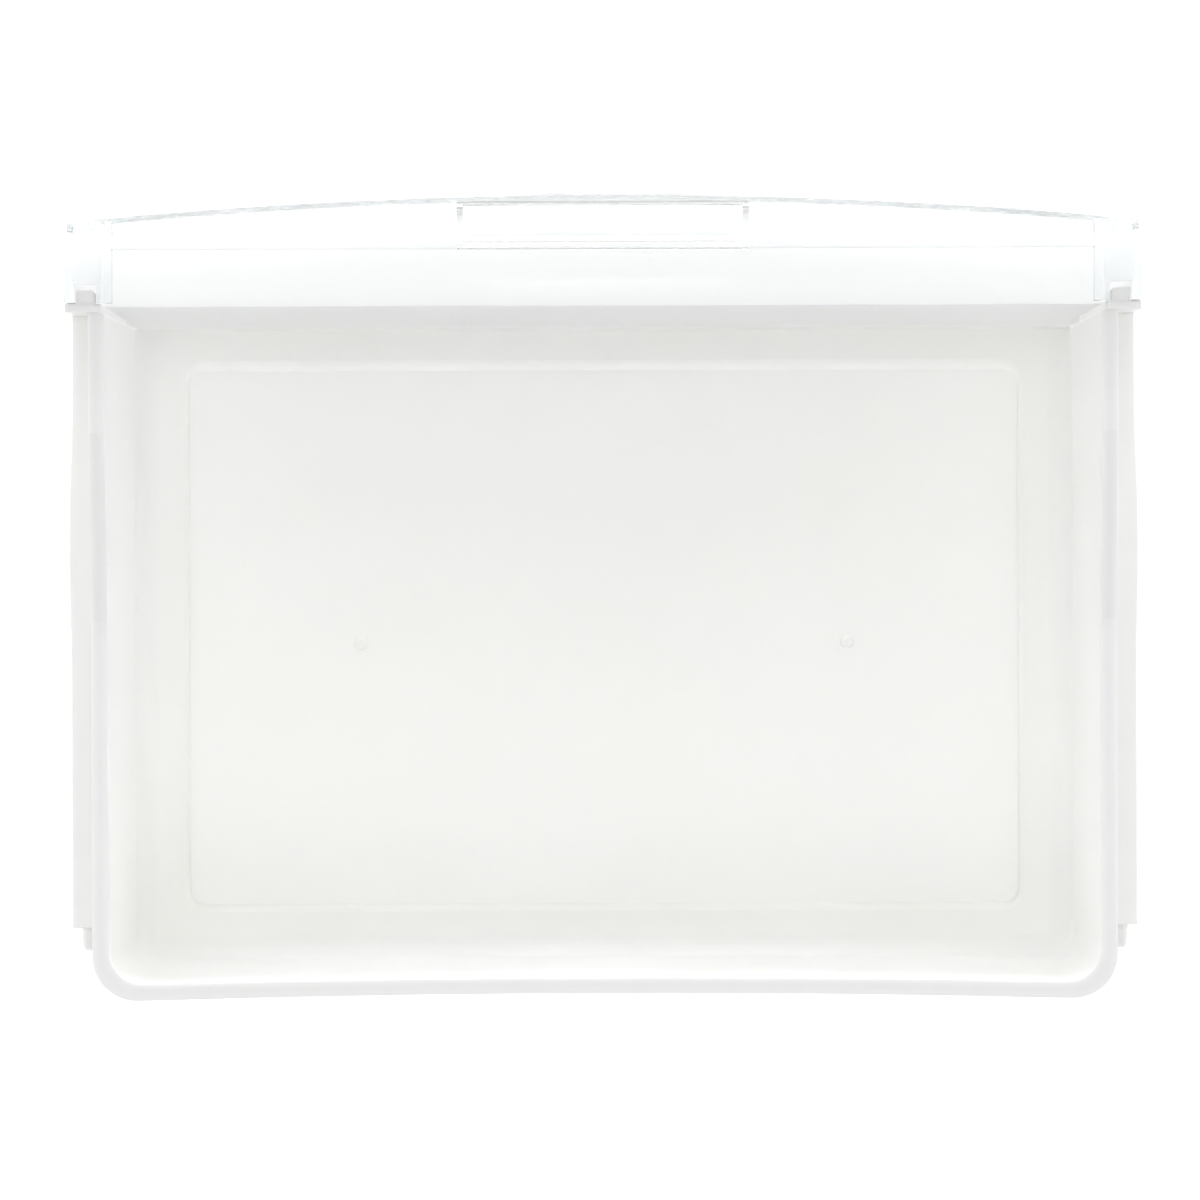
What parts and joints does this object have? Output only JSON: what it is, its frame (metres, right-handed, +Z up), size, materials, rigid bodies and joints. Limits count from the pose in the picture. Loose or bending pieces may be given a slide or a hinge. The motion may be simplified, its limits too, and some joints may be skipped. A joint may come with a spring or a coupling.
{
  "type": "refrigerator crisper drawer",
  "caption": "White plastic refrigerator drawer with side rails, small rear wheels and a clear bowed front cover with a finger scoop.",
  "frame": {"origin": "under the middle of the drawer, on the plane its foot ring stands on", "axes": "+X to the right seen from the front, +Y towards the back of the refrigerator, +Z up"},
  "size_m": [0.4304, 0.3296, 0.158],
  "materials": {
    "tray_white": "white moulded plastic with a soft satin gloss and fine moulding texture",
    "cover_clear": "clear glossy styrene-like plastic with faintly blue-grey edges",
    "wheel_white": "white slippery plastic, smooth tread"
  },
  "bodies": {
    "drawer": {"tray": "tray_white", "front_cover": "cover_clear"},
    "wheel_left": {"roller_left": "wheel_white"},
    "wheel_right": {"roller_right": "wheel_white"}
  },
  "joints": [
    {"name": "wheel_left_spin", "type": "hinge", "parent": "drawer", "child": "wheel_left", "pos_m": [-0.2069, 0.1392, 0.11], "axis": [1, 0, 0], "continuous": true},
    {"name": "wheel_right_spin", "type": "hinge", "parent": "drawer", "child": "wheel_right", "pos_m": [0.2069, 0.1392, 0.11], "axis": [1, 0, 0], "continuous": true}
  ]
}
